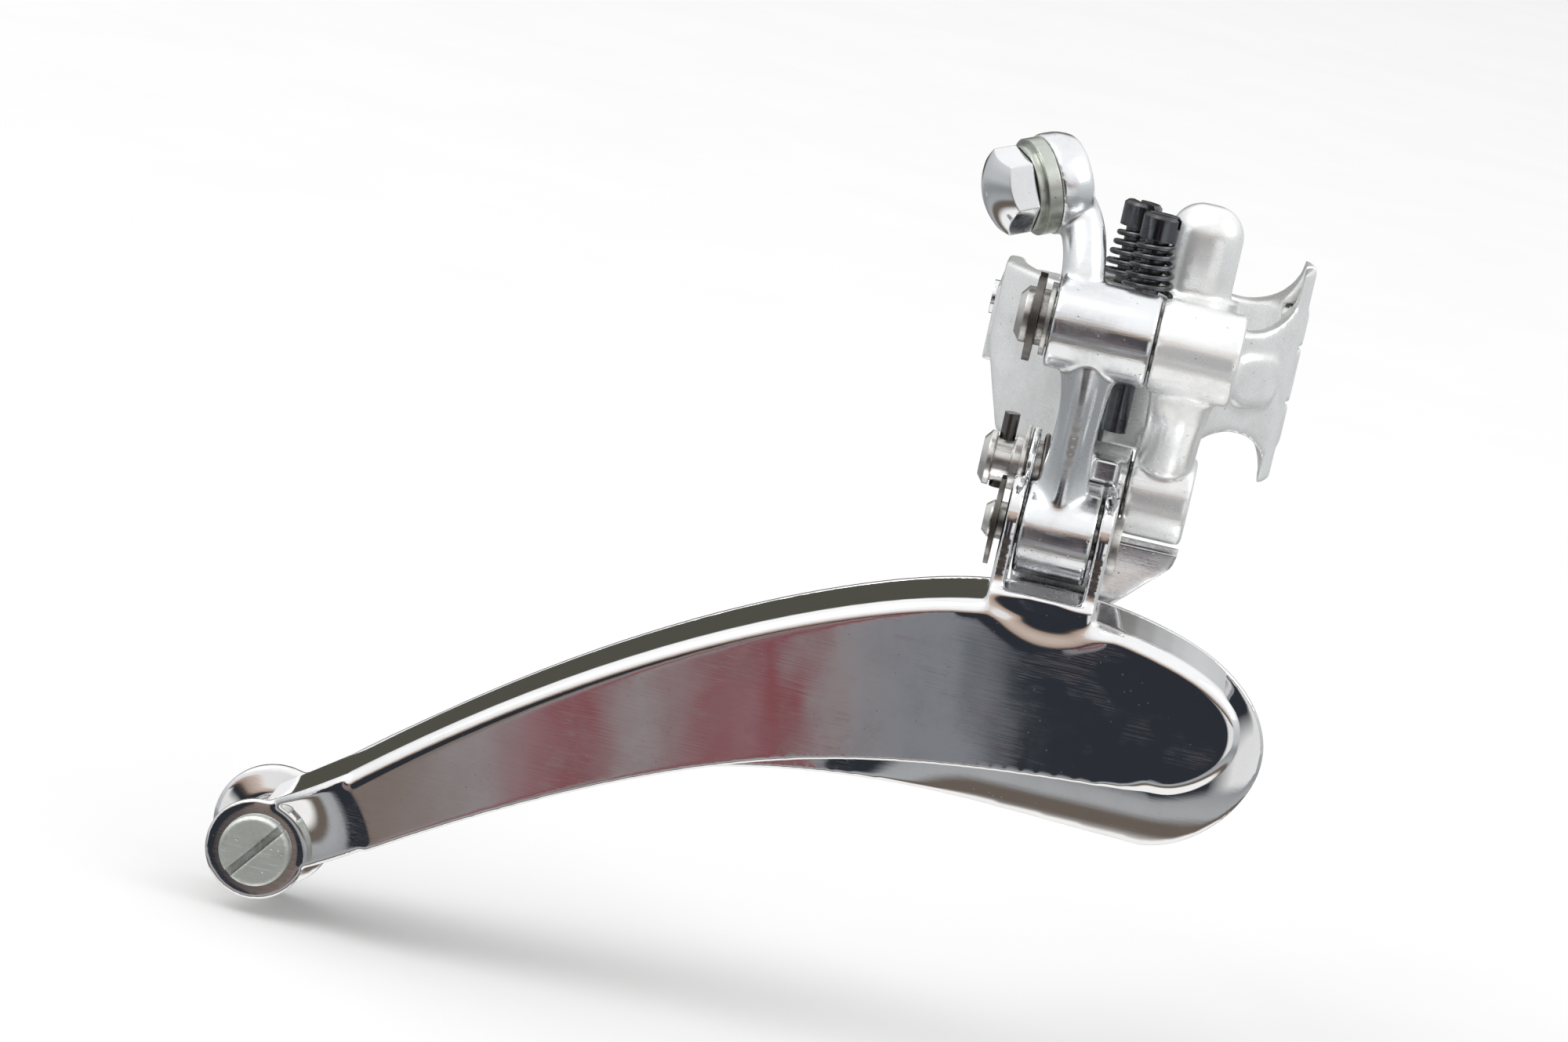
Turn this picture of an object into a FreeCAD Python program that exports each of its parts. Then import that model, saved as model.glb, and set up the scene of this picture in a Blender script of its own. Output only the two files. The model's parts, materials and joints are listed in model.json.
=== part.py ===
"""A clamp-on bicycle front derailleur, as an assembly of separate pieces.

Row frame, in millimetres: the origin is the centre of the seat-tube bore, +Z runs up
along the seat tube, +X points to the front of the bicycle and +Y points inward, from
the chainrings towards the frame.  The four link pivots A, B, C and D all lie along X:
A joins the clamp body to the outer arm, B joins it to the inner link, and C and D join
the cage to the two.
"""
import FreeCAD, Part
import math
import os
import Sketcher
from FreeCAD import Placement, Rotation, Vector

SIZES = {
    # seat-tube clamp
    "tube_radius": 14.3,
    "band_wall": 2.9,
    "band_top": 11.0,
    "band_bottom": 13.0,
    "limb_end": 19.6,
    "limb_wall": 2.5,
    "jaw_gap": 0.8,
    "hinge_radius": 1.6,
    "hinge_pin_radius": 0.8,
    "clamp_bolt_radius": 2.0,
    "clamp_ear": 4.2,
    # link pivots
    "pivot_a_y": -35.0,
    "pivot_a_z": 4.0,
    "link_side": 2.0,
    "link_drop": 22.4,
    "pair_side": 10.5,
    "pair_drop": 17.5,
    "upper_pin_radius": 3.0,
    "lower_pin_radius": 2.95,
    "cage_pin_radius": 2.0,
    "running_gap": 0.05,
    "open_pivot_gap": 0.15,
    # bosses
    "boss_radius": 4.95,
    "arm_boss_left": -9.6,
    "arm_boss_right": 1.3,
    "body_boss_left": 1.5,
    "body_boss_right": 10.4,
    "link_hub": 4.3,
    "cage_boss_left": -8.0,
    "cage_boss_right": -0.2,
    # limit screws
    "screw_front_x": -0.7,
    "screw_rear_x": -3.0,
    "screw_front_y": -27.2,
    "screw_rear_y": -20.6,
    "screw_radius": 1.3,
    "screw_head_radius": 2.05,
    "screw_head_height": 2.7,
    "screw_top": 16.4,
    "shelf_top": 7.6,
    # cage
    "sheet": 1.2,
    "ear_sheet": 1.6,
    "cage_outer_y": -40.0,
    "cage_inner_y": -26.0,
    "fold_radius": 1.5,
    "tail_x": -80.2,
    "tail_z": -71.0,
    "tail_angle": 35.0,
    "tail_eye_radius": 5.55,
    "tail_joggle": 2.6,
    "spacer_radius": 3.2,
    "tail_screw_radius": 2.0,
    # cable anchor
    "anchor_x": -12.0,
    "anchor_y": -29.0,
    "anchor_z": 17.6,
    "anchor_eye_radius": 5.4,
    "anchor_eye_width": 3.9,
    "anchor_bolt_radius": 2.4,
    "hex_across": 8.0,
    "hex_height": 4.2,
}

ANCHOR_AXIS = Vector(-0.85, -0.42, -0.31)
X_AXIS = Vector(1, 0, 0)
Y_AXIS = Vector(0, 1, 0)
Z_AXIS = Vector(0, 0, 1)

doc = FreeCAD.newDocument("front_derailleur")
sheet = doc.addObject("Spreadsheet::Sheet", "sizes")
for row, (alias, amount) in enumerate(SIZES.items(), start=1):
    sheet.set(f"A{row}", alias)
    sheet.set(f"B{row}", str(amount))
    sheet.setAlias(f"B{row}", alias)
doc.recompute()

nodes = {}


def size(formula):
    """The number that a formula of sheet cells gives."""
    return float(sheet.evalExpression(formula))


def cells(formula):
    """A formula whose bare aliases are written out as cells of the sheet."""
    words = formula.replace("(", "( ").replace(")", " )").split()
    return " ".join("sizes." + word if word in SIZES else word for word in words)


def bind(thing, prop, formula):
    thing.setExpression(prop, cells(formula))


def keep(label, thing):
    """Name a finished sub-part: its label is the name of its node."""
    thing.Label = label
    nodes[label] = thing
    return thing


# ---------------------------------------------------------------- pivots
A_Y = size("pivot_a_y")
A_Z = size("pivot_a_z")
C_Y = size("pivot_a_y + link_side")
C_Z = size("pivot_a_z - link_drop")
B_Y = size("pivot_a_y + pair_side")
B_Z = size("pivot_a_z - pair_drop")
D_Y = size("pivot_a_y + link_side + pair_side")
D_Z = size("pivot_a_z - link_drop - pair_drop")


# ---------------------------------------------------------------- primitives
def turn_to(direction):
    """The rotation that takes +Z to a direction."""
    return Rotation(Z_AXIS, direction)


def cylinder(radius, length, base, direction=X_AXIS, angle=360.0):
    """A bound cylinder whose base circle is centred on a point."""
    item = doc.addObject("Part::Cylinder", "round")
    bind(item, "Radius", radius)
    bind(item, "Height", length)
    item.Angle = angle
    item.Placement = Placement(Vector(*base), turn_to(direction))
    return item


def block(low, high, rotation=Rotation(), pivot=Vector()):
    """A box between two corners, turned about a point."""
    item = doc.addObject("Part::Box", "block")
    item.Length = high[0] - low[0]
    item.Width = high[1] - low[1]
    item.Height = high[2] - low[2]
    item.Placement = Placement(Vector(*low), Rotation())
    item.Placement = Placement(Vector(), rotation, pivot).multiply(item.Placement)
    return item


def fuse(*pieces):
    item = doc.addObject("Part::MultiFuse", "joined")
    item.Shapes = list(pieces)
    return item


def common(*pieces):
    item = doc.addObject("Part::MultiCommon", "shared")
    item.Shapes = list(pieces)
    return item


def cut(base, *tools):
    item = doc.addObject("Part::Cut", "cut")
    item.Base = base
    item.Tool = tools[0] if len(tools) == 1 else fuse(*tools)
    return item


def rounded_block(low, high, radius):
    """A block that is rounded everywhere but at its foot."""
    sizes = Vector(*high) - Vector(*low)
    box = Part.makeBox(sizes.x, sizes.y, sizes.z, Vector(*low))
    edges = [edge for edge in box.Edges if edge.CenterOfMass.z > low[2] + 0.01]
    item = doc.addObject("Part::Feature", "rounded")
    item.Shape = box.makeFillet(radius, edges)
    return item


def ball(radius, centre):
    item = doc.addObject("Part::Sphere", "ball")
    bind(item, "Radius", radius)
    item.Placement = Placement(Vector(*centre), Rotation())
    return item


def oval_arm(stations):
    """A forged arm lofted through ellipses: (centre, half width, half depth, tangent)."""
    rings = []
    for centre, wide, deep, tangent in stations:
        ring = doc.addObject("Part::Ellipse", "section")
        ring.MajorRadius = max(wide, deep + 0.001)
        ring.MinorRadius = deep
        normal = Vector(*tangent).normalize()
        side = (X_AXIS - normal * X_AXIS.dot(normal)).normalize()
        ring.Placement = Placement(Vector(*centre), Rotation(side, normal.cross(side), normal, "ZXY"))
        rings.append(ring)
    loft = doc.addObject("Part::Loft", "arm")
    loft.Sections = rings
    loft.Solid = True
    return loft


def prism(outline, low, high, direction):
    """A solid made by pushing a flat closed outline along a direction."""
    item = doc.addObject("Part::Feature", "prism")
    face = Part.Face(Part.Wire(outline))
    face.translate(direction * low)
    item.Shape = face.extrude(direction * (high - low))
    return item


def polygon(points):
    """The straight edges that join the points and close the loop."""
    corners = [Vector(*point) for point in points]
    return [Part.LineSegment(a, b).toShape() for a, b in zip(corners, corners[1:] + corners[:1])]


# ---------------------------------------------------------------- turned pieces
def turned(label, profile, place):
    """A PartDesign body turned about its own X axis; the profile lists (along, radius)."""
    body = doc.addObject("PartDesign::Body", label)
    sketch = body.newObject("Sketcher::SketchObject", "profile")
    planes = [item for item in body.Origin.OriginFeatures if item.Role == "XY_Plane"]
    sketch.AttachmentSupport = [(planes[0], "")]
    sketch.MapMode = "FlatFace"
    corners = [Vector(size(cells(x)), size(cells(r)), 0) for x, r in profile]
    for start, end in zip(corners, corners[1:] + corners[:1]):
        sketch.addGeometry(Part.LineSegment(start, end), False)
    count = len(corners)
    for line in range(count):
        sketch.addConstraint(Sketcher.Constraint("Coincident", line, 2, (line + 1) % count, 1))
    for line, (x, r) in enumerate(profile):
        fix_along(sketch, line, x, corners[line].x, "DistanceX", -2)
        fix_along(sketch, line, r, corners[line].y, "DistanceY", -1)
    turn = body.newObject("PartDesign::Revolution", "turning")
    turn.Profile = sketch
    turn.ReferenceAxis = (sketch, ["H_Axis"])
    turn.Angle = 360
    body.Placement = place
    doc.recompute()
    return keep(label, body)


def fix_along(sketch, line, formula, amount, kind, axis):
    """Hold the start of a line at a bound distance from the sketch's origin."""
    if abs(amount) < 1e-9:
        sketch.addConstraint(Sketcher.Constraint("PointOnObject", line, 1, axis))
        return
    index = sketch.addConstraint(Sketcher.Constraint(kind, -1, 1, line, 1, amount))
    sketch.setExpression(f"Constraints[{index}]", cells(formula))


def along_x(y, z, x=0.0):
    return Placement(Vector(x, y, z), Rotation())


def pivot_pin(label, left, right, radius, groove, y, z, head=None):
    """A pin along X with a chamfered left end, a circlip groove and a plain or headed right end."""
    slot_left, slot_right = groove
    profile = [
        (left, "0"),
        (left, f"{radius} * 0.7"),
        (f"{left} + 0.7", radius),
        (slot_left, radius),
        (slot_left, f"{radius} - 0.5"),
        (slot_right, f"{radius} - 0.5"),
        (slot_right, radius),
    ]
    if head:
        head_left, head_radius = head
        profile += [(head_left, radius), (head_left, head_radius), (right, head_radius)]
    else:
        profile += [(right, radius)]
    profile += [(right, "0")]
    return turned(label, profile, along_x(y, z))


def flat_ring(label, left, right, inner, outer, y, z):
    """A washer or sleeve along X."""
    profile = [(left, inner), (left, outer), (right, outer), (right, inner)]
    return turned(label, profile, along_x(y, z))


def circlip(label, left, thickness, inner, outer, y, z, mouth):
    """An E-clip: a thin ring with a mouth, open towards +Z."""
    ring = flat_ring(label + "_ring", left, f"{left} + {thickness}", inner, outer, y, z)
    nodes.pop(label + "_ring")
    start = size(cells(left)) - 1
    gap = block((start, y - mouth / 2, z), (start + 4, y + mouth / 2, z + 12))
    return keep(label, cut(ring, gap))


# ---------------------------------------------------------------- clamp
HINGE_X = size("tube_radius + hinge_radius")
SCREW_PLACES = {
    "high": (size("screw_front_x"), size("screw_front_y")),
    "low": (size("screw_rear_x"), size("screw_rear_y")),
}
HINGE_LOW = -9.0
HINGE_HIGH = 6.0
STRAP_KNUCKLE = (-4.4, 2.0)
STRAP_SWEEP = 128.0
EAR_Z = -3.0


def band(start_angle, sweep):
    """A sector of the tube clamp's band, before its edges are scooped."""
    place = Placement(Vector(0, 0, -size("band_bottom")), Rotation(Z_AXIS, start_angle))
    outer = cylinder("tube_radius + band_wall", "band_top + band_bottom", (0, 0, 0), Z_AXIS, sweep)
    outer.Placement = place
    return outer


def bore_tool():
    return cylinder("tube_radius", "100", (0, 0, -50), Z_AXIS)


def scoop(radius, x, z, y_from, y_to):
    """A round cutter along Y that hollows an edge of the band."""
    return cylinder(str(radius), str(y_to - y_from), (x, y_from, z), Y_AXIS)


def ear_end(x, width):
    """The round end of a clamp ear, along X."""
    place = (x, size("limb_end"), EAR_Z)
    return cylinder("clamp_ear", str(width), place)


def knuckle(bottom, top):
    return cylinder("hinge_radius", str(top - bottom), (HINGE_X, 0, bottom), Z_AXIS)


def knuckle_gap(bottom, top):
    """Room for the other half's knuckle."""
    return cylinder("hinge_radius + 0.35", str(top - bottom), (HINGE_X, 0, bottom), Z_AXIS)


def hinge_hole(gap):
    return cylinder(f"hinge_pin_radius + {gap}", str(HINGE_HIGH - HINGE_LOW + 0.6),
                    (HINGE_X, 0, HINGE_LOW - 0.3), Z_AXIS)


def make_clamp_body():
    top = size("band_top")
    bottom = -size("band_bottom")
    half = band(180, 180)
    left_top = block((-20, -20, 5.0), (0.5, 20, top + 1))
    limb_left = -size("tube_radius + limb_wall")
    limb = fuse(
        block((limb_left, -0.5, EAR_Z - 4.2), (-size("tube_radius"), size("limb_end"), EAR_Z + 4.2)),
        ear_end(limb_left, size("limb_wall")),
    )
    top_scoop = scoop(4.4, 11.5, 8.4, -20, 3)
    horn_trim = block((7.0, -20, 8.4), (15.9, 3, top + 1))
    cheek = fuse(
        block((-30, -20, -20), (-16.8, 0.1, 20), Rotation(Y_AXIS, -19), Vector(0, 0, 0)),
        block((-30, -20, -20), (-16.3, 0.1, 20)),
    )
    bottom_scoop = scoop(4.3, 11.6, -11.4, -20, 3)
    chin = block((-1.0, -20, bottom - 1), (10.5, 0, -10.5))
    shell = cut(half, left_top, top_scoop, horn_trim, bottom_scoop, chin, cheek,
                knuckle_gap(*STRAP_KNUCKLE))
    ear_hole = cylinder("clamp_bolt_radius", "12", (limb_left - 2, size("limb_end"), EAR_Z))
    knuckles = [knuckle(HINGE_LOW, STRAP_KNUCKLE[0] - 0.1), knuckle(STRAP_KNUCKLE[1] + 0.1, HINGE_HIGH)]
    upright = rounded_block((0.3, -21.6, 0.5), (8.3, -14.4, 17.5), 3.4)
    shelf_top = size("shelf_top")
    shelf = fuse(
        block((-4.6, -30.2, 1.4), (1.5, -15.2, shelf_top)),
        block((-7.6, -23.9, 1.4), (1.5, -15.2, shelf_top)),
        block((1.5, -33.0, -1.0), (9.6, -15.2, shelf_top)),
        block((-9.6, -23.5, -1.0), (1.5, -13.5, 4.6)),
    )
    boss_a = cylinder("boss_radius", "body_boss_right - body_boss_left",
                      (size("body_boss_left"), A_Y, A_Z))
    boss_b = cylinder("4.8", "6.8", (2.1, B_Y, B_Z))
    leg = oval_arm([
        ((5.6, A_Y + 0.5, A_Z - 2.0), 3.9, 3.0, (0, 0.35, -1)),
        ((5.4, A_Y + 3.0, A_Z - 8.0), 3.2, 2.6, (0, 0.5, -1)),
        ((5.3, B_Y - 2.0, B_Z + 4.0), 3.1, 2.6, (0, 0.5, -1)),
        ((5.2, B_Y, B_Z), 3.0, 2.7, (0, 0.5, -1)),
    ])
    rib = block((2.6, B_Y + 1.0, B_Z + 0.6), (7.8, -15.0, B_Z + 5.0))
    solid = fuse(shell, limb, upright, shelf, boss_a, boss_b, leg, rib, cartouche(), *knuckles)
    arm_room = cylinder("boss_radius + 0.3", "11.8", (-10.4, A_Y, A_Z))
    screws = [cylinder("screw_radius + running_gap", "30", (x, y, -14), Z_AXIS)
              for x, y in SCREW_PLACES.values()]
    pin_a = cylinder("upper_pin_radius", "30", (-15, A_Y, A_Z))
    pin_b = cylinder("lower_pin_radius", "30", (-15, B_Y, B_Z))
    hub_room = cylinder("5.9", "11.8", (-9.8, B_Y, B_Z))
    return cut(solid, bore_tool(), ear_hole, arm_room, pin_a, pin_b, hub_room, hinge_hole("0"), *screws)


def cartouche():
    """A raised blank oval on the narrow waist of the band."""
    radial = Rotation(Z_AXIS, -40)
    prism_parts = [
        cylinder("2.7", "8", radial.multVec(Vector(13, side, -1.2)), radial.multVec(X_AXIS))
        for side in (-1.6, 1.6)
    ]
    middle = block((13, -1.6, -3.9), (21, 1.6, 1.5), radial)
    skin = cylinder("tube_radius + band_wall + 0.5", "20", (0, 0, -10), Z_AXIS)
    return common(skin, fuse(middle, *prism_parts))


def make_clamp_strap():
    top = size("band_top")
    bottom = -size("band_bottom")
    half = band(2.0, STRAP_SWEEP - 2.0)
    shell = cut(half, scoop(7.0, 8.9, 11.2, 0, 20), scoop(7.0, 8.9, -13.6, 0, 20),
                block((-20, 0, 4.6), (2.6, 20, top + 1)), block((-20, 0, bottom - 1), (2.6, 20, -6.6)),
                knuckle_gap(HINGE_LOW - 0.3, STRAP_KNUCKLE[0]),
                knuckle_gap(STRAP_KNUCKLE[1], HINGE_HIGH + 0.3))
    low = STRAP_KNUCKLE[0] + 0.1
    high = STRAP_KNUCKLE[1] - 0.1
    middle = fuse(knuckle(low, high), block((HINGE_X - 1.6, 0, low), (HINGE_X + 0.6, 1.4, high)))
    ear_left = size("jaw_gap - tube_radius")
    ear = fuse(
        block((ear_left, 11.5, EAR_Z - 4.2), (ear_left + 3.6, size("limb_end"), EAR_Z + 4.2)),
        ear_end(ear_left, 3.6),
    )
    ear_hole = cylinder("clamp_bolt_radius + running_gap", "12", (ear_left - 2, size("limb_end"), EAR_Z))
    return cut(fuse(shell, middle, ear), bore_tool(), ear_hole, hinge_hole("running_gap"))


# ---------------------------------------------------------------- arms
def make_outer_arm():
    boss_a = cylinder("boss_radius", "arm_boss_right - arm_boss_left",
                      (size("arm_boss_left"), A_Y, A_Z))
    boss_c = cylinder("boss_radius", "cage_boss_right - cage_boss_left",
                      (size("cage_boss_left"), C_Y, C_Z))
    fall = (0, 0.09, -1)
    leg = oval_arm([
        ((-5.0, A_Y - 0.4, A_Z - 1.5), 3.9, 3.2, fall),
        ((-4.6, A_Y - 0.6, A_Z - 6.5), 2.6, 2.3, fall),
        ((-4.6, C_Y - 1.2, C_Z + 7.5), 2.5, 2.3, fall),
        ((-4.3, C_Y - 0.4, C_Z + 1.5), 3.2, 3.2, fall),
    ])
    ridge = oval_arm([
        ((-4.7, A_Y - 2.2, A_Z - 3.0), 1.5, 1.4, fall),
        ((-4.6, A_Y - 2.6, A_Z - 8.0), 1.15, 1.1, fall),
        ((-4.6, C_Y - 3.1, C_Z + 7.0), 1.15, 1.1, fall),
        ((-4.6, C_Y - 2.8, C_Z + 3.2), 1.4, 1.3, fall),
    ])
    eye = Vector(size("anchor_x"), size("anchor_y"), size("anchor_z"))
    axis = Vector(ANCHOR_AXIS).normalize()
    half = size("anchor_eye_width") / 2
    disc = common(cylinder("anchor_eye_radius", "anchor_eye_width", eye - axis * half, axis),
                  ball("anchor_eye_radius + 0.05", eye + axis * 0.9))
    lever = oval_arm([
        ((-7.4, A_Y + 0.4, A_Z + 1.5), 2.5, 2.2, (0, 0.1, 1)),
        ((-7.6, A_Y + 1.4, A_Z + 6.0), 2.3, 2.2, (-0.1, 0.35, 1)),
        ((-9.0, A_Y + 4.0, A_Z + 10.2), 2.4, 2.2, (-0.35, 0.45, 1)),
        (tuple(eye), 2.1, 2.3, (-0.3, 0.4, 1)),
    ])
    bore_a = cylinder("upper_pin_radius + running_gap", "20", (-15, A_Y, A_Z))
    bore_c = cylinder("cage_pin_radius + running_gap", "20", (-15, C_Y, C_Z))
    bolt_hole = cylinder("anchor_bolt_radius + running_gap", "20", eye - axis * 10, axis)
    washer_room = cylinder("anchor_eye_radius + 0.6", "8", eye + axis * half, axis)
    solid = fuse(boss_a, boss_c, leg, ridge, lever, disc)
    return cut(solid, bore_a, bore_c, bolt_hole, washer_room)


def make_inner_link():
    """Two hub rings round the lower pivot, a broad tapering web and the rear cage hub."""
    web_outline = polygon([
        (-8.9, 0, B_Z - 2.5), (1.8, 0, B_Z - 2.5), (1.8, 0, B_Z - 5.6), (9.0, 0, B_Z - 5.6),
        (8.6, 0, B_Z - 7.2), (-1.2, 0, D_Z + 5.0), (-1.2, 0, D_Z), (-7.5, 0, D_Z), (-7.5, 0, D_Z + 5.0),
    ])
    web = prism(web_outline, B_Y - 1.5, B_Y + 1.5, Y_AXIS)
    lean = math.degrees(math.atan2(size("link_side"), size("link_drop")))
    web.Placement = Placement(Vector(), Rotation(X_AXIS, lean), Vector(0, B_Y, B_Z))
    hubs = [cylinder("link_hub", "0.9", (-9.0, B_Y, B_Z)), cylinder("link_hub", "8.2", (-6.3, B_Y, B_Z))]
    bridge = block((-9.0, B_Y - 1.6, B_Z - 6.0), (1.9, B_Y + 1.6, B_Z - 3.4),
                   Rotation(X_AXIS, lean), Vector(0, B_Y, B_Z))
    foot = cylinder("3.3", "6.3", (-7.5, D_Y, D_Z))
    stops = [block((-2.2, B_Y - 5.2, B_Z + 0.8), (0.8, B_Y - 1.5, B_Z + 3.4)),
             block((-4.5, B_Y + 1.5, B_Z + 0.8), (-1.5, B_Y + 5.2, B_Z + 3.4))]
    coil_room = cylinder("link_hub + 0.1", "1.8", (-8.1, B_Y, B_Z))
    boss_room = cylinder("5.25", "9", (1.9, B_Y, B_Z))
    bore_b = cylinder("lower_pin_radius + running_gap", "20", (-15, B_Y, B_Z))
    bore_d = cylinder("cage_pin_radius + open_pivot_gap", "20", (-15, D_Y, D_Z))
    solid = fuse(web, bridge, foot, *hubs, *stops)
    return cut(solid, coil_room, boss_room, bore_b, bore_d)


# ---------------------------------------------------------------- cage
TAIL = Vector(size("tail_x"), 0, size("tail_z"))
TAIL_TURN = math.radians(size("tail_angle"))
TAIL_ALONG = Vector(math.cos(TAIL_TURN), 0, math.sin(TAIL_TURN))
TAIL_ACROSS = Vector(-math.sin(TAIL_TURN), 0, math.cos(TAIL_TURN))

TOP_EDGE = [(-73.0, -60.9), (-56.5, -48.0), (-38.5, -36.8), (-23.5, -29.8), (-10.0, -25.9),
            (2.0, -25.6), (10.5, -27.2), (16.0, -29.4)]
OUTER_NOSE = [(19.0, -32.2), (19.6, -36.0), (17.0, -40.2), (11.0, -42.3)]
APRON = [(11.0, -42.3), (-6.0, -49.0), (-24.0, -53.0), (-46.0, -62.0), (-66.0, -74.0)]
OUTER_BOTTOM = [(11.0, -42.3), (-6.0, -43.6), (-24.0, -46.8), (-46.0, -55.2), (-68.4, -67.9)]
INNER_NOSE = [(20.4, -33.0), (22.8, -38.6), (20.8, -45.2), (12.0, -51.0)]
INNER_BOTTOM = [(12.0, -51.0), (-4.0, -50.4), (-20.0, -50.6), (-36.0, -53.4), (-68.4, -67.9)]


def spline(points):
    curve = Part.BSplineCurve()
    curve.interpolate([Vector(x, 0, z) for x, z in points])
    return curve


def plate_outline(nose, bottom):
    """The closed edge of a cage plate, forward of its tail."""
    rim = spline(TOP_EDGE + nose)
    closing = Part.LineSegment(Vector(bottom[-1][0], 0, bottom[-1][1]),
                               Vector(TOP_EDGE[0][0], 0, TOP_EDGE[0][1]))
    return [rim.toShape(), spline(bottom).toShape(), closing.toShape()]


def under_roof():
    """Everything below the roof sheet, as the outline of a cutter."""
    top = spline(TOP_EDGE)
    drop = size("sheet")
    inside = []
    steps = 12
    for step in range(steps + 1):
        at = top.FirstParameter + (top.LastParameter - top.FirstParameter) * step / steps
        point = top.value(at)
        tangent = Vector(*top.tangent(at)[0])
        normal = Vector(tangent.z, 0, -tangent.x).normalize()
        inside.append(point + normal * drop)
    inside[0] = inside[0] - (inside[1] - inside[0]) * 0.6
    roof = Part.BSplineCurve()
    roof.interpolate(inside)
    low = -120
    corners = [inside[-1], inside[-1] + Vector(20, 0, 4), Vector(60, 0, low), Vector(-120, 0, low),
               Vector(-120, 0, inside[0].z), inside[0]]
    walls = [Part.LineSegment(a, b).toShape() for a, b in zip(corners, corners[1:])]
    return [roof.toShape()] + walls


def tail_plan(radius, width, length):
    """The eye and the strip that joins it to the plate, as outlines to push along Y."""
    ring = [Part.Edge(Part.Circle(TAIL, Y_AXIS, radius))]
    end = TAIL + TAIL_ALONG * length
    corners = [TAIL + TAIL_ACROSS * width, end + TAIL_ACROSS * (width + 0.2),
               end - TAIL_ACROSS * (width + 0.2), TAIL - TAIL_ACROSS * width]
    return ring, polygon([tuple(corner) for corner in corners])


def joggled_tail():
    """The outer plate's tail: it steps inward to an eye that lies flat on the spacer."""
    near = size("cage_outer_y")
    step = size("tail_joggle")
    thick = size("sheet")
    stations = [(-8.0, step), (6.2, step), (11.2, 0.0), (14.5, 0.0)]
    upper = [TAIL + TAIL_ALONG * along + Y_AXIS * (near + deep) for along, deep in stations]
    lower = [point + Y_AXIS * thick for point in reversed(upper)]
    profile = [tuple(point + TAIL_ACROSS * -10) for point in upper + lower]
    sheet_strip = prism(polygon(profile), 0, 20, TAIL_ACROSS)
    ring, strip = tail_plan(size("tail_eye_radius"), 3.8, 12.8)
    plan = fuse(prism(ring, near - 1, near + 8, Y_AXIS), prism(strip, near - 1, near + 8, Y_AXIS))
    back = Y_AXIS * size("cage_inner_y - sheet")
    side = [TAIL + TAIL_ALONG * along + Y_AXIS * (near + deep + 0.45)
            for along, deep in [(2.6, step)] + stations[1:3] + [(13.2, 0.0)]]
    side += [TAIL + TAIL_ALONG * along + back for along in (13.2, 2.6)]
    flange = prism(polygon([tuple(point) for point in side]), 3.0, 4.3, TAIL_ACROSS)
    return [common(sheet_strip, plan), flange]


def tail_hole(radius):
    base = TAIL + Y_AXIS * (size("cage_outer_y") - 5)
    return cylinder(radius, "30", tuple(base), Y_AXIS)


def ear(left, centre_y, centre_z, radius, reach, foot):
    """A pivot ear: a rounded plate across X that stands on the cage; foot is its root's y range."""
    disc = cylinder(str(radius), "ear_sheet", (left, centre_y, centre_z))
    low, high = foot
    root = polygon([(left, centre_y - radius, centre_z), (left, centre_y + radius, centre_z),
                    (left, high, reach), (left, low, reach)])
    return fuse(disc, prism(root, 0, size("ear_sheet"), X_AXIS))


EAR_LEFT_X = -9.8
EAR_RIGHT_X = 0.1


def make_outer_plate():
    near = size("cage_outer_y")
    far = size("cage_inner_y - sheet")
    blank = prism(plate_outline(OUTER_NOSE, APRON), near, far, Y_AXIS)
    rounds = [edge for edge in blank.Shape.Edges
              if abs(edge.CenterOfMass.y - near) < 0.01 and edge.Length > 20]
    folded = doc.addObject("Part::Feature", "folded")
    folded.Shape = blank.Shape.makeFillet(size("fold_radius"), rounds)
    trim = prism(plate_outline(OUTER_NOSE, OUTER_BOTTOM), near - 1, far + 1, Y_AXIS)
    hollow = prism(under_roof(), near + size("sheet"), 0, Y_AXIS)
    sheet_part = cut(common(folded, trim), hollow)
    foot = (near + 0.4, near + 11.5)
    ears = [ear(x, C_Y, C_Z, 5.2, -26.6, foot) for x in (EAR_LEFT_X, EAR_RIGHT_X)]
    lip = block((EAR_LEFT_X, near + 0.1, -28.2), (EAR_RIGHT_X + size("ear_sheet"), near + 1.5, -24.4))
    arm_room = cylinder("boss_radius + 0.35", "8.3", (EAR_LEFT_X + 1.6, C_Y, C_Z))
    pin_hole = cylinder("cage_pin_radius", "20", (-15, C_Y, C_Z))
    solid = fuse(sheet_part, *joggled_tail(), lip, *ears)
    return cut(solid, arm_room, pin_hole, tail_hole("tail_screw_radius"))


def make_inner_plate():
    near = size("cage_inner_y - sheet")
    far = size("cage_inner_y")
    flat = prism(plate_outline(INNER_NOSE, INNER_BOTTOM), near, far, Y_AXIS)
    ring, strip = tail_plan(6.8, 3.9, 13.0)
    tail = fuse(prism(ring, near, far, Y_AXIS), prism(strip, near, far, Y_AXIS))
    lugs = [rear_ear(x) for x in (-8.8, -1.1)]
    pin_hole = cylinder("cage_pin_radius", "20", (-15, D_Y, D_Z))
    return cut(fuse(flat, tail, *lugs), pin_hole, tail_hole("tail_screw_radius"))


def rear_ear(left):
    """A lug behind the inner plate that carries the rear pin."""
    disc = cylinder("3.3", "sheet", (left, D_Y, D_Z))
    plate = block((left, size("cage_inner_y - 0.2"), D_Z - 3.3), (left + size("sheet"), D_Y, D_Z + 3.3))
    return fuse(disc, plate)


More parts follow.
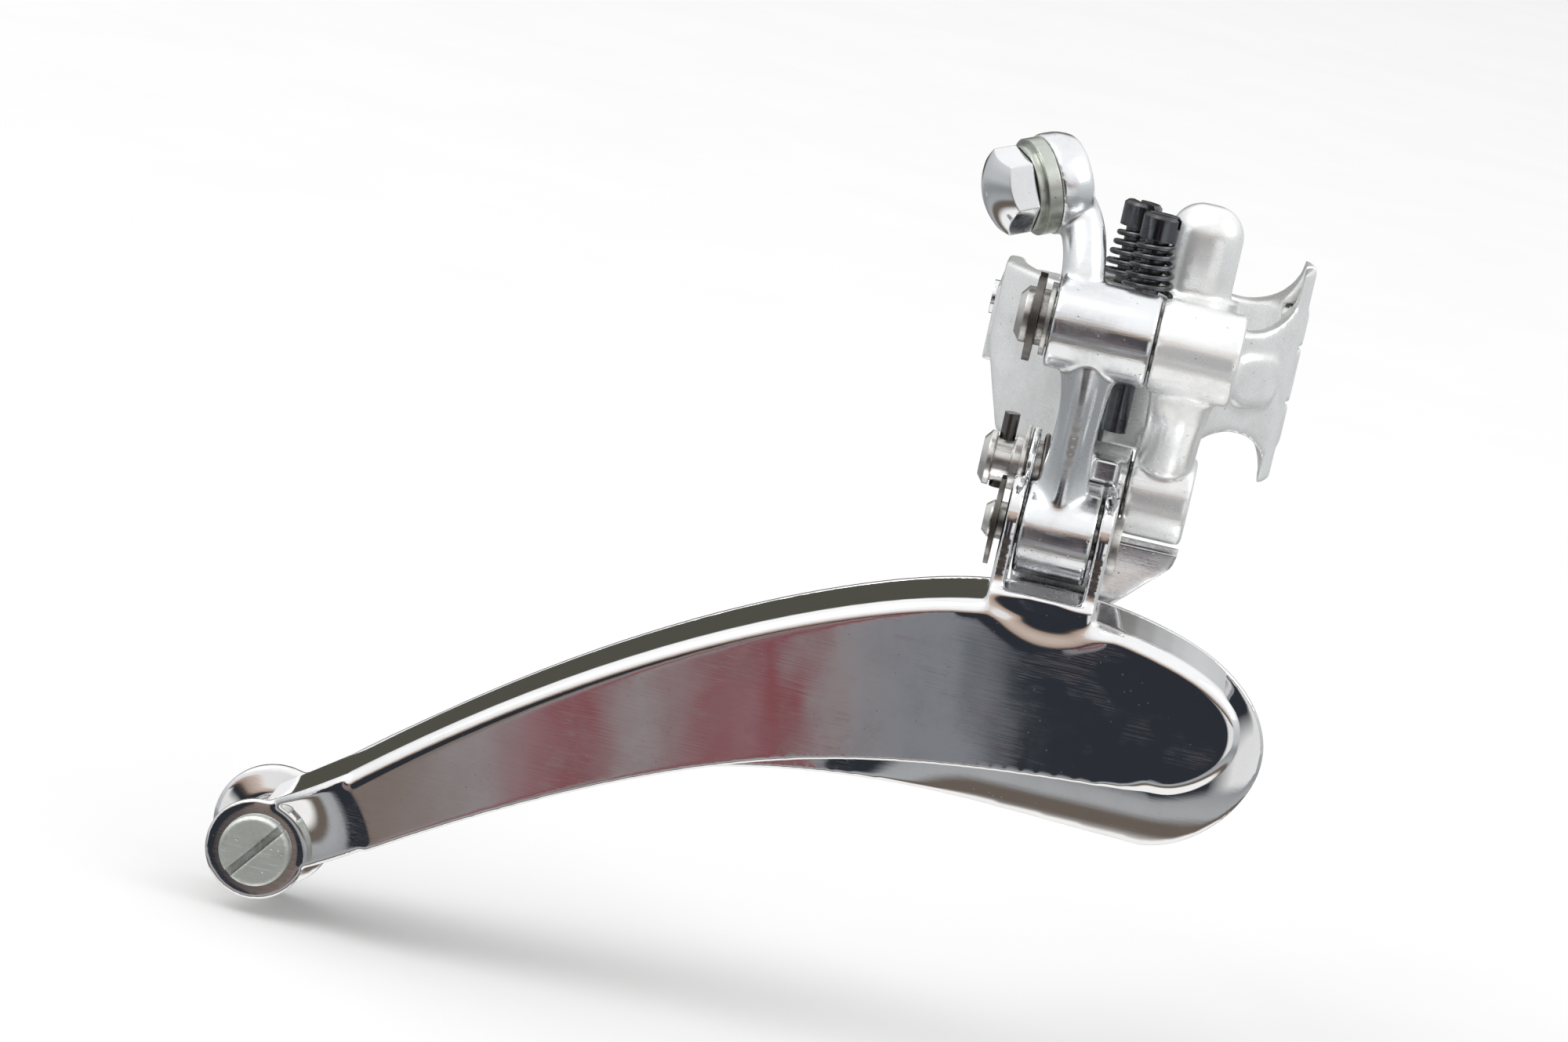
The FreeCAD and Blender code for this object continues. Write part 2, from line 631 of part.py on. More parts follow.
# ---------------------------------------------------------------- screws and springs
def slotted(label, head_radius, head_height, shank_radius, shank_end, place, slot):
    """A slotted screw whose head starts at its own origin and whose shank runs along its +X."""
    profile = [
        ("0", "0"),
        ("0", f"{head_radius} - 0.3"),
        ("0.3", head_radius),
        (head_height, head_radius),
        (head_height, shank_radius),
        (shank_end, shank_radius),
        (shank_end, "0"),
    ]
    blank = turned(label + "_blank", profile, place)
    nodes.pop(label + "_blank")
    width, depth, turn = slot
    cutter = block((-1, -width / 2, -10), (depth, width / 2, 10))
    cutter.Placement = place.multiply(Placement(Vector(), Rotation(X_AXIS, turn))).multiply(cutter.Placement)
    return keep(label, cut(blank, cutter))


def hex_bolt(label, across, height, shank_radius, shank_end, place):
    """A hexagon bolt with a crowned head; the shank runs along its own -Z."""
    hexagon = doc.addObject("Part::Prism", "hexagon")
    hexagon.Polygon = 6
    bind(hexagon, "Circumradius", f"{across} / 1.7320508")
    bind(hexagon, "Height", height)
    crown = doc.addObject("Part::Sphere", "crown")
    bind(crown, "Radius", f"{across} * 0.85")
    crown.Placement = Placement(Vector(0, 0, size(cells(f"{height} - {across} * 0.85"))), Rotation())
    head = common(hexagon, crown)
    shank = cylinder(shank_radius, shank_end, (0, 0, -size(cells(shank_end))), Z_AXIS)
    bolt = fuse(head, shank)
    bolt.Placement = place
    return keep(label, bolt)


def helix_spring(label, wire, turns, stations, place):
    """A coil spring swept along a spline: stations gives (height, radius) from bottom to top."""
    per_turn = 12
    points = []
    total = turns * per_turn
    (low, low_radius), (high, high_radius) = stations
    for step in range(total + 1):
        share = step / total
        radius = low_radius + (high_radius - low_radius) * share
        angle = 2 * math.pi * step / per_turn
        height = low + (high - low) * share
        points.append(Vector(radius * math.cos(angle), radius * math.sin(angle), height))
    path = Part.BSplineCurve()
    path.interpolate(points)
    spine = Part.Wire([path.toShape()])
    start = points[0]
    section = Part.Wire([Part.Edge(Part.Circle(start, Vector(*path.tangent(path.FirstParameter)[0]), wire))])
    item = doc.addObject("Part::Feature", label)
    item.Shape = spine.makePipeShell([section], True, True)
    item.Placement = place
    return keep(label, item)


def make_limit_screws():
    head = size("screw_top")
    down = Rotation(X_AXIS, Vector(0, 0, -1))
    tips = {"high": (B_Z + 6.2, 20), "low": (B_Z + 3.75, 65)}
    for name, (x, y) in SCREW_PLACES.items():
        tip, turn = tips[name]
        slotted(f"limit_screw_{name}", "screw_head_radius", "screw_head_height", "screw_radius",
                f"screw_top - {tip}", Placement(Vector(x, y, head), down), (0.9, 1.3, turn))
        low = size("shelf_top") + 0.42
        high = size("screw_top - screw_head_height") - 0.42
        helix_spring(f"limit_spring_{name}", 0.3, 5, ((low, 2.6), (high, 1.8)),
                     Placement(Vector(x, y, 0), Rotation()))


def make_return_spring():
    """The torsion spring's coils, wound round the lower pivot pin."""
    place = Placement(Vector(-7.7, B_Y, B_Z), turn_to(X_AXIS))
    return helix_spring("return_spring", 0.3, 1, ((0.0, 3.55), (0.75, 3.55)), place)


def make_tail_fixing():
    seat = size("cage_outer_y + tail_joggle")
    inward = Rotation(X_AXIS, Y_AXIS)
    place = Placement(Vector(TAIL.x, seat - 1.0, TAIL.z), inward)
    length = size("cage_inner_y") - seat + 1.0
    slotted("cage_screw", "3.85", "1", "tail_screw_radius", str(length), place, (0.85, 0.6, 38))
    start = seat + size("sheet")
    spacer = [(str(start), "tail_screw_radius"), (str(start), "spacer_radius"),
              ("cage_inner_y - sheet", "spacer_radius"), ("cage_inner_y - sheet", "tail_screw_radius")]
    turned("cage_spacer", spacer, Placement(Vector(TAIL.x, 0, TAIL.z), inward))


def make_anchor():
    axis = Vector(ANCHOR_AXIS).normalize()
    eye = Vector(size("anchor_x"), size("anchor_y"), size("anchor_z"))
    face = eye + axis * (size("anchor_eye_width") / 2)
    turn = turn_to(axis)
    plate = cylinder("5.15", "1.5", face, axis)
    collar = cylinder("4.5", "0.8", face + axis * 1.5, axis)
    hole = cylinder("anchor_bolt_radius + running_gap", "8", face - axis * 2, axis)
    keep("anchor_washer", cut(fuse(plate, collar), hole))
    head = Placement(face + axis * 2.4, turn.multiply(Rotation(Z_AXIS, 42)))
    hex_bolt("cable_bolt", "hex_across", "hex_height", "anchor_bolt_radius", "6.1", head)


def make_clamp_bolt():
    seat = size("jaw_gap - tube_radius") + 3.6 + 0.05
    place = Placement(Vector(seat, size("limb_end"), EAR_Z), turn_to(X_AXIS))
    hex_bolt("clamp_bolt", "7", "3.0", "clamp_bolt_radius - running_gap", "7.8", place)


def make_pivots():
    pivot_pin("upper_pivot_pin", "-13.3", "10.0", "upper_pin_radius", ("-11.9", "-11.0"), A_Y, A_Z)
    circlip("upper_circlip", "-11.85", "0.8", "upper_pin_radius - 0.5", "4.8", A_Y, A_Z, 3.6)
    flat_ring("upper_washer", "-10.3", "-9.75", "upper_pin_radius", "3.9", A_Y, A_Z)
    cross_hole = cylinder("0.85", "12", (-11.6, B_Y, B_Z - 6), Z_AXIS)
    pin = pivot_pin("lower_pin_blank", "-13.9", "8.6", "lower_pin_radius", ("-12.6", "-10.6"), B_Y, B_Z)
    nodes.pop("lower_pin_blank")
    keep("lower_pivot_pin", cut(pin, cross_hole))
    keep("lower_cross_pin", cylinder("0.85", "8.2", (-11.6, B_Y, B_Z - 3.0), Z_AXIS))
    flat_ring("lower_washer", "-9.7", "-9.2", "lower_pin_radius", "4.4", B_Y, B_Z)
    pivot_pin("front_cage_pin", "-12.0", "2.6", "cage_pin_radius", ("-11.1", "-10.5"), C_Y, C_Z,
              ("1.7", "3.1"))
    circlip("front_cage_circlip", "-11.05", "0.5", "cage_pin_radius - 0.5", "4.8", C_Y, C_Z, 2.6)
    pivot_pin("rear_cage_pin", "-10.7", "1.0", "cage_pin_radius", ("-9.8", "-9.3"), D_Y, D_Z,
              ("0.1", "2.9"))
    circlip("rear_cage_circlip", "-9.75", "0.4", "cage_pin_radius - 0.5", "3.3", D_Y, D_Z, 2.6)


def main():
    keep("clamp_body", make_clamp_body())
    keep("clamp_strap", make_clamp_strap())
    pin = cylinder("hinge_pin_radius", str(HINGE_HIGH - HINGE_LOW + 0.4),
                   (HINGE_X, 0, HINGE_LOW - 0.2), Z_AXIS)
    keep("clamp_hinge_pin", pin)
    make_clamp_bolt()
    keep("outer_arm", make_outer_arm())
    keep("inner_link", make_inner_link())
    keep("cage_outer_plate", make_outer_plate())
    keep("cage_inner_plate", make_inner_plate())
    make_pivots()
    make_limit_screws()
    make_return_spring()
    make_tail_fixing()
    make_anchor()
    doc.recompute()
    check()
    write()


def check():
    for thing in doc.Objects:
        bad = [state for state in thing.State if state in ("Invalid", "Error")]
        if bad:
            raise RuntimeError(f"{thing.Name} ({thing.Label}) did not compute: {bad}")
    for label, thing in nodes.items():
        shape = thing.Shape
        if shape.isNull() or not shape.isValid() or not shape.Solids:
            raise RuntimeError(f"{label} has no valid solid")
        print(f"{label:22s} solids {len(shape.Solids)} volume {shape.Volume:9.1f}")


def write():
    os.makedirs("parts", exist_ok=True)
    for label, thing in nodes.items():
        thing.Shape.exportStep(f"parts/{label}.step")


main()
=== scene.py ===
"""A front derailleur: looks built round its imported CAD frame."""

import json
import math

import bpy
import numpy as np
from mathutils import Matrix, Vector


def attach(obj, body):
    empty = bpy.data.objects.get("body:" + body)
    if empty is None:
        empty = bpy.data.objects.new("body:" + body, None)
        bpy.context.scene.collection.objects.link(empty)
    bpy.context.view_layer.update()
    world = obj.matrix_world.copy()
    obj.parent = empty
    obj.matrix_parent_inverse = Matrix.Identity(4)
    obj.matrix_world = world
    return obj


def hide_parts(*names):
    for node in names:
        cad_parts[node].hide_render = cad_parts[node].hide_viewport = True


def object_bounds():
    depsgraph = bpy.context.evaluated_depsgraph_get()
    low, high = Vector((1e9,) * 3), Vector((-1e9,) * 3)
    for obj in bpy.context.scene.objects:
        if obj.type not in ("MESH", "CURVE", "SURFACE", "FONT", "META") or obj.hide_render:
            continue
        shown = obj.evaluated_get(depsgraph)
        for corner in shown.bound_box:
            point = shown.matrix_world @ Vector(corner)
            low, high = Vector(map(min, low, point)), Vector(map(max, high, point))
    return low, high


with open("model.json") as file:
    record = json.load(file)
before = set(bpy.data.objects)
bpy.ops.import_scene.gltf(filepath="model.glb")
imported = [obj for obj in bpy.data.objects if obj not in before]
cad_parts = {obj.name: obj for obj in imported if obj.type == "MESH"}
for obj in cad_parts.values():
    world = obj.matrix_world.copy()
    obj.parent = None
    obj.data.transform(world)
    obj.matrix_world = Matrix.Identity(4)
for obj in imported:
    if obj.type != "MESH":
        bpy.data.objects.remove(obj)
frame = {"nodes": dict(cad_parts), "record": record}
cad_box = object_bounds()

MM = 0.001


# ---------------------------------------------------------------- camera
CAMERA_AIM = Vector((-32.2, -40.0, -22.4)) * MM
CAMERA_DISTANCE = 0.6
CAMERA_AZIMUTH = -3.0
CAMERA_ELEVATION = 11.0
CAMERA_ROLL = 12.5
CAMERA_LENS = 131.4


def make_camera():
    """A long lens that looks inward at the cage, rolled so that the seat tube leans right."""
    turn = math.radians(CAMERA_AZIMUTH)
    drop = math.radians(CAMERA_ELEVATION)
    roll = math.radians(CAMERA_ROLL)
    look = Vector((math.sin(turn) * math.cos(drop), math.cos(turn) * math.cos(drop), -math.sin(drop)))
    level = look.cross(Vector((0, 0, 1))).normalized()
    lift = level.cross(look)
    right = level * math.cos(roll) + lift * math.sin(roll)
    up = lift * math.cos(roll) - level * math.sin(roll)
    data = bpy.data.cameras.new("camera")
    data.lens = CAMERA_LENS
    data.sensor_width = 36.0
    data.clip_start = 0.01
    camera = bpy.data.objects.new("camera", data)
    bpy.context.scene.collection.objects.link(camera)
    turned = Matrix((right, up, -look)).transposed().to_4x4()
    camera.matrix_world = Matrix.Translation(CAMERA_AIM - look * CAMERA_DISTANCE) @ turned
    bpy.context.scene.camera = camera


make_camera()


# ---------------------------------------------------------------- node helpers
class Graph:
    """Short names for making and joining shader nodes."""

    def __init__(self, tree):
        self.tree = tree
        tree.nodes.clear()

    def node(self, kind, **settings):
        made = self.tree.nodes.new(kind)
        for key, value in settings.items():
            setattr(made, key, value)
        return made

    def feed(self, socket, value):
        if isinstance(value, bpy.types.NodeSocket):
            self.tree.links.new(value, socket)
        else:
            socket.default_value = value

    def math(self, operation, first, second=0.0):
        made = self.node("ShaderNodeMath", operation=operation)
        self.feed(made.inputs[0], first)
        self.feed(made.inputs[1], second)
        return made.outputs[0]

    def span(self, value, low, high, out_low=0.0, out_high=1.0):
        """Value eased from low to high."""
        made = self.node("ShaderNodeMapRange", interpolation_type="SMOOTHSTEP")
        for index, item in enumerate((value, low, high, out_low, out_high)):
            self.feed(made.inputs[index], item)
        return made.outputs[0]

    def mix(self, factor, first, second):
        """Colours, mixed."""
        made = self.node("ShaderNodeMix", data_type="RGBA")
        self.feed(made.inputs[0], factor)
        self.feed(made.inputs[6], rgba(first))
        self.feed(made.inputs[7], rgba(second))
        return made.outputs[2]

    def place(self, scale=(1, 1, 1), turn=(0, 0, 0)):
        """Object coordinates, scaled, in millimetres."""
        coords = self.node("ShaderNodeTexCoord")
        made = self.node("ShaderNodeMapping")
        made.inputs["Rotation"].default_value = turn
        made.inputs["Scale"].default_value = [1000 * s for s in scale]
        self.feed(made.inputs[0], coords.outputs["Object"])
        return made.outputs[0]

    def noise(self, vector, scale, detail=3.0, rough=0.55):
        made = self.node("ShaderNodeTexNoise")
        self.feed(made.inputs["Vector"], vector)
        made.inputs["Scale"].default_value = scale
        made.inputs["Detail"].default_value = detail
        made.inputs["Roughness"].default_value = rough
        return made.outputs["Fac"]

    def cells(self, vector, scale):
        """The distance from scattered points."""
        made = self.node("ShaderNodeTexVoronoi")
        self.feed(made.inputs["Vector"], vector)
        made.inputs["Scale"].default_value = scale
        return made.outputs["Distance"]

    def bump(self, height, distance, normal=None):
        """Distance is in millimetres."""
        made = self.node("ShaderNodeBump")
        made.inputs["Distance"].default_value = distance * MM
        self.feed(made.inputs["Height"], height)
        if normal is not None:
            self.feed(made.inputs["Normal"], normal)
        return made.outputs[0]


def rgba(colour):
    if isinstance(colour, tuple) and len(colour) == 3:
        return (*colour, 1.0)
    return colour


def ramp(g, value, low, high, stops):
    """A colour for value, from stops between low and high."""
    made = g.node("ShaderNodeValToRGB")
    elements = made.color_ramp.elements
    elements.remove(elements[1])
    for index, (at, colour) in enumerate(stops):
        place = (at - low) / (high - low)
        stop = elements[0] if index == 0 else elements.new(place)
        stop.position = place
        stop.color = rgba(colour)
    g.feed(made.inputs[0], g.math("DIVIDE", g.math("SUBTRACT", value, low), high - low))
    return made.outputs[0]


# ---------------------------------------------------------------- studio
# What the mirror-bright cage faces: two red stripes between grey, brown and dark walls. These colours,
# and where the panel changes from one to the next, are rounded from readings of the reflections in
# the photograph.
PALE = (0.83, 0.83, 0.82)
GREY = (0.28, 0.25, 0.25)
SLATE = (0.22, 0.23, 0.25)
BROWN = (0.21, 0.17, 0.15)
ROSE = (0.26, 0.14, 0.15)
RED = (0.22, 0.06, 0.07)
DARK = (0.028, 0.032, 0.040)
# The stripes lean with the camera: the cosine and sine of its roll.
STRIPE_LEAN = (0.976, 0.216)

FLOOR_WIDTH = 9.0
FLOOR_GAP = 0.0005


def make_world():
    """A bright room, dark towards the viewer, with two dull red panels there."""
    world = bpy.data.worlds.new("studio")
    bpy.context.scene.world = world
    world.use_nodes = True
    g = Graph(world.node_tree)
    way = g.node("ShaderNodeTexCoord").outputs["Generated"]
    split = g.node("ShaderNodeSeparateXYZ")
    g.feed(split.inputs[0], way)
    x, y, z = split.outputs
    ahead = g.math("MAXIMUM", g.math("MULTIPLY", y, -1.0), 0.05)
    across = g.math("DIVIDE", x, ahead)
    height = g.math("DIVIDE", z, ahead)
    leaning = [g.math("MULTIPLY", part, share) for part, share in zip((across, height), STRIPE_LEAN)]
    band = g.math("ADD", *leaning)

    panel = ramp(g, band, -1.0, 0.6, (
        (-0.92, PALE), (-0.80, DARK), (-0.20, DARK), (-0.187, BROWN), (-0.165, BROWN), (-0.150, GREY),
        (-0.137, ROSE), (-0.130, RED), (-0.127, RED), (-0.124, GREY), (-0.114, GREY),
        (-0.110, RED), (-0.100, ROSE), (-0.094, RED), (-0.090, RED), (-0.087, GREY),
        (-0.070, SLATE), (-0.060, SLATE), (-0.052, DARK), (0.18, DARK), (0.36, PALE),
    ))
    faces = ramp(g, height, -0.60, 0.60, (
        (0.10, (0.025, 0.028, 0.035)), (0.16, (0.08, 0.065, 0.06)), (0.22, (0.40, 0.31, 0.26)),
        (0.33, (0.64, 0.52, 0.45)), (0.38, (0.85, 0.84, 0.83)),
    ))
    room = g.mix(g.span(z, -0.10, 0.70), (0.55, 0.56, 0.57), (1.08, 1.08, 1.08))
    room = g.mix(g.span(z, -0.12, -0.30), room, (0.30, 0.31, 0.32))
    room = g.mix(g.span(z, -0.32, -0.48), room, (0.40, 0.41, 0.42))
    room = g.mix(g.span(z, -0.50, -0.58), room, (0.15, 0.125, 0.105))
    room = g.mix(g.span(z, -0.64, -0.76), room, (1.0, 0.99, 0.97))
    level = g.math("MULTIPLY", g.span(z, -0.20, -0.10), g.span(z, 0.62, 0.30))
    sides = g.math("MULTIPLY", g.span(x, 0.16, 0.03), g.span(x, -0.54, -0.40))
    behind = g.math("MULTIPLY", g.math("MULTIPLY", g.span(y, 0.60, 0.93), level), sides)
    room = g.mix(behind, room, (0.085, 0.085, 0.068))
    front = g.math("MULTIPLY", g.span(y, -0.58, -0.68), g.span(height, -0.46, -0.36))
    front = g.math("MULTIPLY", front, g.span(height, 0.52, 0.42))
    room = g.mix(front, room, g.mix(g.span(height, 0.08, 0.14), panel, faces))

    light = g.node("ShaderNodeBackground")
    g.feed(light.inputs["Color"], room)
    light.inputs["Strength"].default_value = 0.95
    seen = g.node("ShaderNodeBackground")
    seen.inputs["Color"].default_value = (0.90, 0.90, 0.90, 1.0)
    rays = g.node("ShaderNodeLightPath")
    pick = g.node("ShaderNodeMixShader")
    g.feed(pick.inputs[0], rays.outputs["Is Camera Ray"])
    g.feed(pick.inputs[1], light.outputs[0])
    g.feed(pick.inputs[2], seen.outputs[0])
    g.feed(g.node("ShaderNodeOutputWorld").inputs[0], pick.outputs[0])


def make_floor():
    """A pale cloth, far wider than the view, which the chrome doesn't mirror."""
    bpy.ops.mesh.primitive_plane_add(size=FLOOR_WIDTH, location=(0, 0, cad_box[0][2] - FLOOR_GAP))
    floor = bpy.context.object
    floor.name = "floor"
    floor.visible_glossy = False
    mat = bpy.data.materials.new("floor_cloth")
    mat.use_nodes = True
    g = Graph(mat.node_tree)
    shader = g.node("ShaderNodeBsdfPrincipled")
    spot = g.place()
    tone = g.noise(spot, 0.02, 2.0)
    g.feed(shader.inputs["Base Color"], g.mix(tone, (0.76, 0.76, 0.76), (0.80, 0.80, 0.80)))
    shader.inputs["Roughness"].default_value = 0.9
    g.feed(g.node("ShaderNodeOutputMaterial").inputs[0], shader.outputs[0])
    floor.data.materials.append(mat)


def soft_light(name, place, aim, size, power):
    data = bpy.data.lights.new(name, "AREA")
    data.size = size
    data.energy = power
    lamp = bpy.data.objects.new(name, data)
    bpy.context.scene.collection.objects.link(lamp)
    lamp.location = place
    lamp.rotation_euler = (Vector(aim) - Vector(place)).to_track_quat("-Z", "Y").to_euler()


make_world()
make_floor()
soft_light("key", (-1.8, -1.2, 3.2), (-0.03, -0.02, -0.03), 2.4, 55.0)
soft_light("fill", (2.4, -0.6, 1.9), (-0.03, -0.02, -0.03), 2.0, 22.0)
bpy.context.scene.view_settings.view_transform = "Standard"


# ---------------------------------------------------------------- materials
def metal(name, colours, rough, haze=0.08, pits=0.0, scratch=0.0, wave=0.0, crevice_dirt_and_shade=0.0, edge=0.0,
          grain=(0, 0, 0), hairs=0.0, metallic=1.0):
    """A worn metal. colours: clean and dull. rough: base roughness, and haze is added in patches.
    pits, scratch and wave: depths in mm. crevice_dirt_and_shade: how strongly crevices are darkened, dirt
    and painted shade in one. edge: rounding in mm.
    grain: how the fine scratches turn. hairs: how strongly single scratches and specks show.
    metallic: below 1 for alloy under a thin pale oxide."""
    mat = bpy.data.materials.new(name)
    mat.use_nodes = True
    g = Graph(mat.node_tree)
    shader = g.node("ShaderNodeBsdfPrincipled")
    shader.inputs["Metallic"].default_value = metallic
    spot = g.place()
    patch = g.noise(spot, 0.22, 5.0, 0.6)
    fine = g.noise(spot, 1.9, 4.0, 0.65)
    lines = g.noise(g.place((0.12, 2.4, 2.4), grain), 1.6, 2.0, 0.6)
    dull = g.math("MULTIPLY", g.span(patch, 0.38, 0.68), g.span(fine, 0.25, 0.75, 0.5, 1.0))
    colour = g.mix(dull, colours[0], colours[1])
    specks = g.span(g.cells(spot, 1.05), 0.16, 0.06)
    specks = g.math("MULTIPLY", specks, g.span(g.noise(spot, 0.55), 0.50, 0.60))
    if pits:
        colour = g.mix(g.math("MULTIPLY", specks, 0.7), colour, tuple(0.35 * c for c in colours[1]))
    # Crevices found by ambient occlusion are darkened towards a mottled brown: partly dirt, partly painted
    # shade.
    if crevice_dirt_and_shade:
        hollow = g.node("ShaderNodeAmbientOcclusion", samples=6)
        hollow.inputs["Distance"].default_value = 1.6 * MM
        dirt_and_shade = g.math("MULTIPLY", g.span(hollow.outputs["AO"], 0.75, 0.25), g.span(fine, 0.3, 0.6, 0.4, 1.0))
        colour = g.mix(g.math("MULTIPLY", dirt_and_shade, crevice_dirt_and_shade), colour, (0.07, 0.06, 0.045))
    g.feed(shader.inputs["Base Color"], colour)
    scuffs = g.span(lines, 0.58, 0.72)
    added = g.math("ADD", g.math("MULTIPLY", dull, haze), g.math("MULTIPLY", scuffs, 0.5 * haze))
    roughness = g.math("ADD", added, rough)
    normal = None
    if edge:
        soft = g.node("ShaderNodeBevel", samples=4)
        soft.inputs["Radius"].default_value = edge * MM
        normal = soft.outputs[0]
    if wave:
        normal = g.bump(g.noise(spot, 0.13, 1.0), wave, normal)
    if scratch:
        normal = g.bump(lines, scratch, normal)
    if pits:
        normal = g.bump(g.math("SUBTRACT", g.math("MULTIPLY", fine, 0.25), specks), pits, normal)
    if hairs:
        strands = g.noise(g.place((0.05, 5.0, 5.0), grain), 1.3, 1.0, 0.5)
        thin = g.math("MULTIPLY", g.span(g.math("ABSOLUTE", g.math("SUBTRACT", strands, 0.5)), 0.010, 0.002),
                      g.span(g.noise(spot, 0.12, 3.0), 0.50, 0.75))
        dots = g.math("MULTIPLY", g.span(g.cells(spot, 1.1), 0.10, 0.04), g.span(patch, 0.40, 0.56))
        marks = g.math("MULTIPLY", g.math("MAXIMUM", g.math("MULTIPLY", thin, 0.45), dots), hairs)
        roughness = g.math("ADD", roughness, g.math("MULTIPLY", marks, 0.22))
        normal = g.bump(marks, 0.0012, normal)
    g.feed(shader.inputs["Roughness"], roughness)
    if normal is not None:
        g.feed(shader.inputs["Normal"], normal)
    g.feed(g.node("ShaderNodeOutputMaterial").inputs[0], shader.outputs[0])
    return mat


ALONG_CAGE = (0, math.radians(30), 0)
FINISH = {
    "forged_alloy": metal("forged_alloy", ((0.90, 0.91, 0.92), (0.74, 0.75, 0.75)), 0.17, 0.18,
                          pits=0.03, scratch=0.006, wave=0.16, crevice_dirt_and_shade=0.7),
    "satin_alloy": metal("satin_alloy", ((0.93, 0.94, 0.94), (0.80, 0.81, 0.80)), 0.24, 0.12,
                         pits=0.014, scratch=0.004, wave=0.20, crevice_dirt_and_shade=0.7, metallic=0.62),
    "polished_alloy": metal("polished_alloy", ((0.89, 0.91, 0.93), (0.74, 0.75, 0.77)), 0.18, 0.15,
                            pits=0.02, scratch=0.008, wave=0.16, crevice_dirt_and_shade=0.6),
    "chromed_sheet": metal("chromed_sheet", ((0.92, 0.92, 0.93), (0.86, 0.86, 0.87)), 0.02, 0.035,
                           scratch=0.0012, wave=0.012, crevice_dirt_and_shade=0.3, grain=ALONG_CAGE, hairs=1.0),
    "chromed_steel": metal("chromed_steel", ((0.90, 0.91, 0.93), (0.82, 0.83, 0.85)), 0.04, 0.08,
                           pits=0.008, wave=0.02, crevice_dirt_and_shade=0.3, edge=0.25),
    "bright_steel": metal("bright_steel", ((0.74, 0.73, 0.71), (0.50, 0.49, 0.46)), 0.24, 0.18,
                          pits=0.02, scratch=0.008, crevice_dirt_and_shade=0.8, edge=0.25),
    "dark_steel": metal("dark_steel", ((0.17, 0.16, 0.15), (0.08, 0.07, 0.06)), 0.30, 0.18,
                        pits=0.01, crevice_dirt_and_shade=0.6, edge=0.15),
    "black_steel": metal("black_steel", ((0.13, 0.135, 0.15), (0.05, 0.045, 0.045)), 0.20, 0.18,
                         pits=0.01, crevice_dirt_and_shade=0.5, edge=0.2),
    "worn_steel": metal("worn_steel", ((0.88, 0.92, 0.89), (0.50, 0.53, 0.48)), 0.46, 0.22,
                        pits=0.09, scratch=0.02, wave=0.9, crevice_dirt_and_shade=0.8, edge=0.4),
    "zinc_steel": metal("zinc_steel", ((0.60, 0.63, 0.58), (0.38, 0.40, 0.34)), 0.26, 0.20,
                        pits=0.02, scratch=0.006, crevice_dirt_and_shade=0.7, edge=0.25),
}


# ---------------------------------------------------------------- formed pieces
def ease(value, low, high):
    """0 below low, 1 above high, smooth between."""
    share = np.clip((value - low) / (high - low), 0.0, 1.0)
    return share * share * (3.0 - 2.0 * share)


# The tail's eye, as (x, z), and the straight step that the CAD plate has there, in millimetres.
TAIL = (-80.2, -71.0)
TAIL_TURN = math.radians(35.0)
TAIL_STEP = 2.6
STEP_TOP = 11.2
STEP_RUN = 5.0
# The round step that takes its place.
EYE_FLAT = 5.4
ROUND_RUN = 8.6
ROUND_SHARPNESS = 0.45
# The neck between the ears: a dish whose lower edge is a curve.
NECK_X = -2.9
NECK_BEND = 0.062
NECK_LOW = -30.0
NECK_HIGH = -27.0
NECK_DEPTH = 0.54
# The inner plate: the middle and radius of its nose, its lower edge, its flare, and its coned eye.
NOSE = (11.5, -39.5)
NOSE_RADIUS = 11.4
LOBE_EDGE = -50.9
FLARE_WIDTH = 7.5
FLARE = 0.020
CONE_START = 3.9
CONE_WIDTH = 3.2
CONE_SLOPE = 0.34


def press_outer_plate(x, y, z):
    """A round step down to the tail's eye, and a shallow dished neck between the ears."""
    along = (x - TAIL[0]) * math.cos(TAIL_TURN) + (z - TAIL[1]) * math.sin(TAIL_TURN)
    straight = TAIL_STEP * np.clip((STEP_TOP - along) / STEP_RUN, 0.0, 1.0)
    away = np.hypot(x - TAIL[0], z - TAIL[1])
    share = np.clip((away - EYE_FLAT) / ROUND_RUN, 0.0, 1.0) ** ROUND_SHARPNESS
    rounded = TAIL_STEP * (1.0 - share ** 3 * (10.0 - 15.0 * share + 6.0 * share * share))
    near_tail = ease(-y, 30.0, 37.0) * (away < 18.0)
    y = y + (rounded - straight) * near_tail
    climb = ease(z - NECK_BEND * (x - NECK_X) ** 2, NECK_LOW, NECK_HIGH)
    y = y + NECK_DEPTH * climb * ease(-y, 36.5, 38.2)
    return x, y, z


def press_inner_plate(x, y, z):
    """Its nose and lower lobe flare away from the chain, and its tail eye is coned."""
    inside_nose = NOSE_RADIUS - np.hypot(x - NOSE[0], z - NOSE[1])
    inside = np.where(x > NOSE[0], inside_nose, z - LOBE_EDGE)
    reach = np.clip(FLARE_WIDTH - inside, 0.0, 9.0)
    top_of_nose = np.where(x > NOSE[0], ease(-z, 24.0, 34.0), 1.0)
    fade = ease(x, -24.0, -6.0) * top_of_nose * ease(-z, 28.0, 40.0)
    y = y + FLARE * reach * reach * fade
    away = np.hypot(x - TAIL[0], z - TAIL[1])
    y = y + CONE_SLOPE * np.clip(away - CONE_START, 0.0, CONE_WIDTH) * ease(-x, 64.0, 74.0)
    return x, y, z


def points_of(piece):
    """Its vertices, in millimetres."""
    points = np.empty(3 * len(piece.data.vertices), dtype=np.float32)
    piece.data.vertices.foreach_get("co", points)
    return points.reshape(-1, 3) * 1000.0


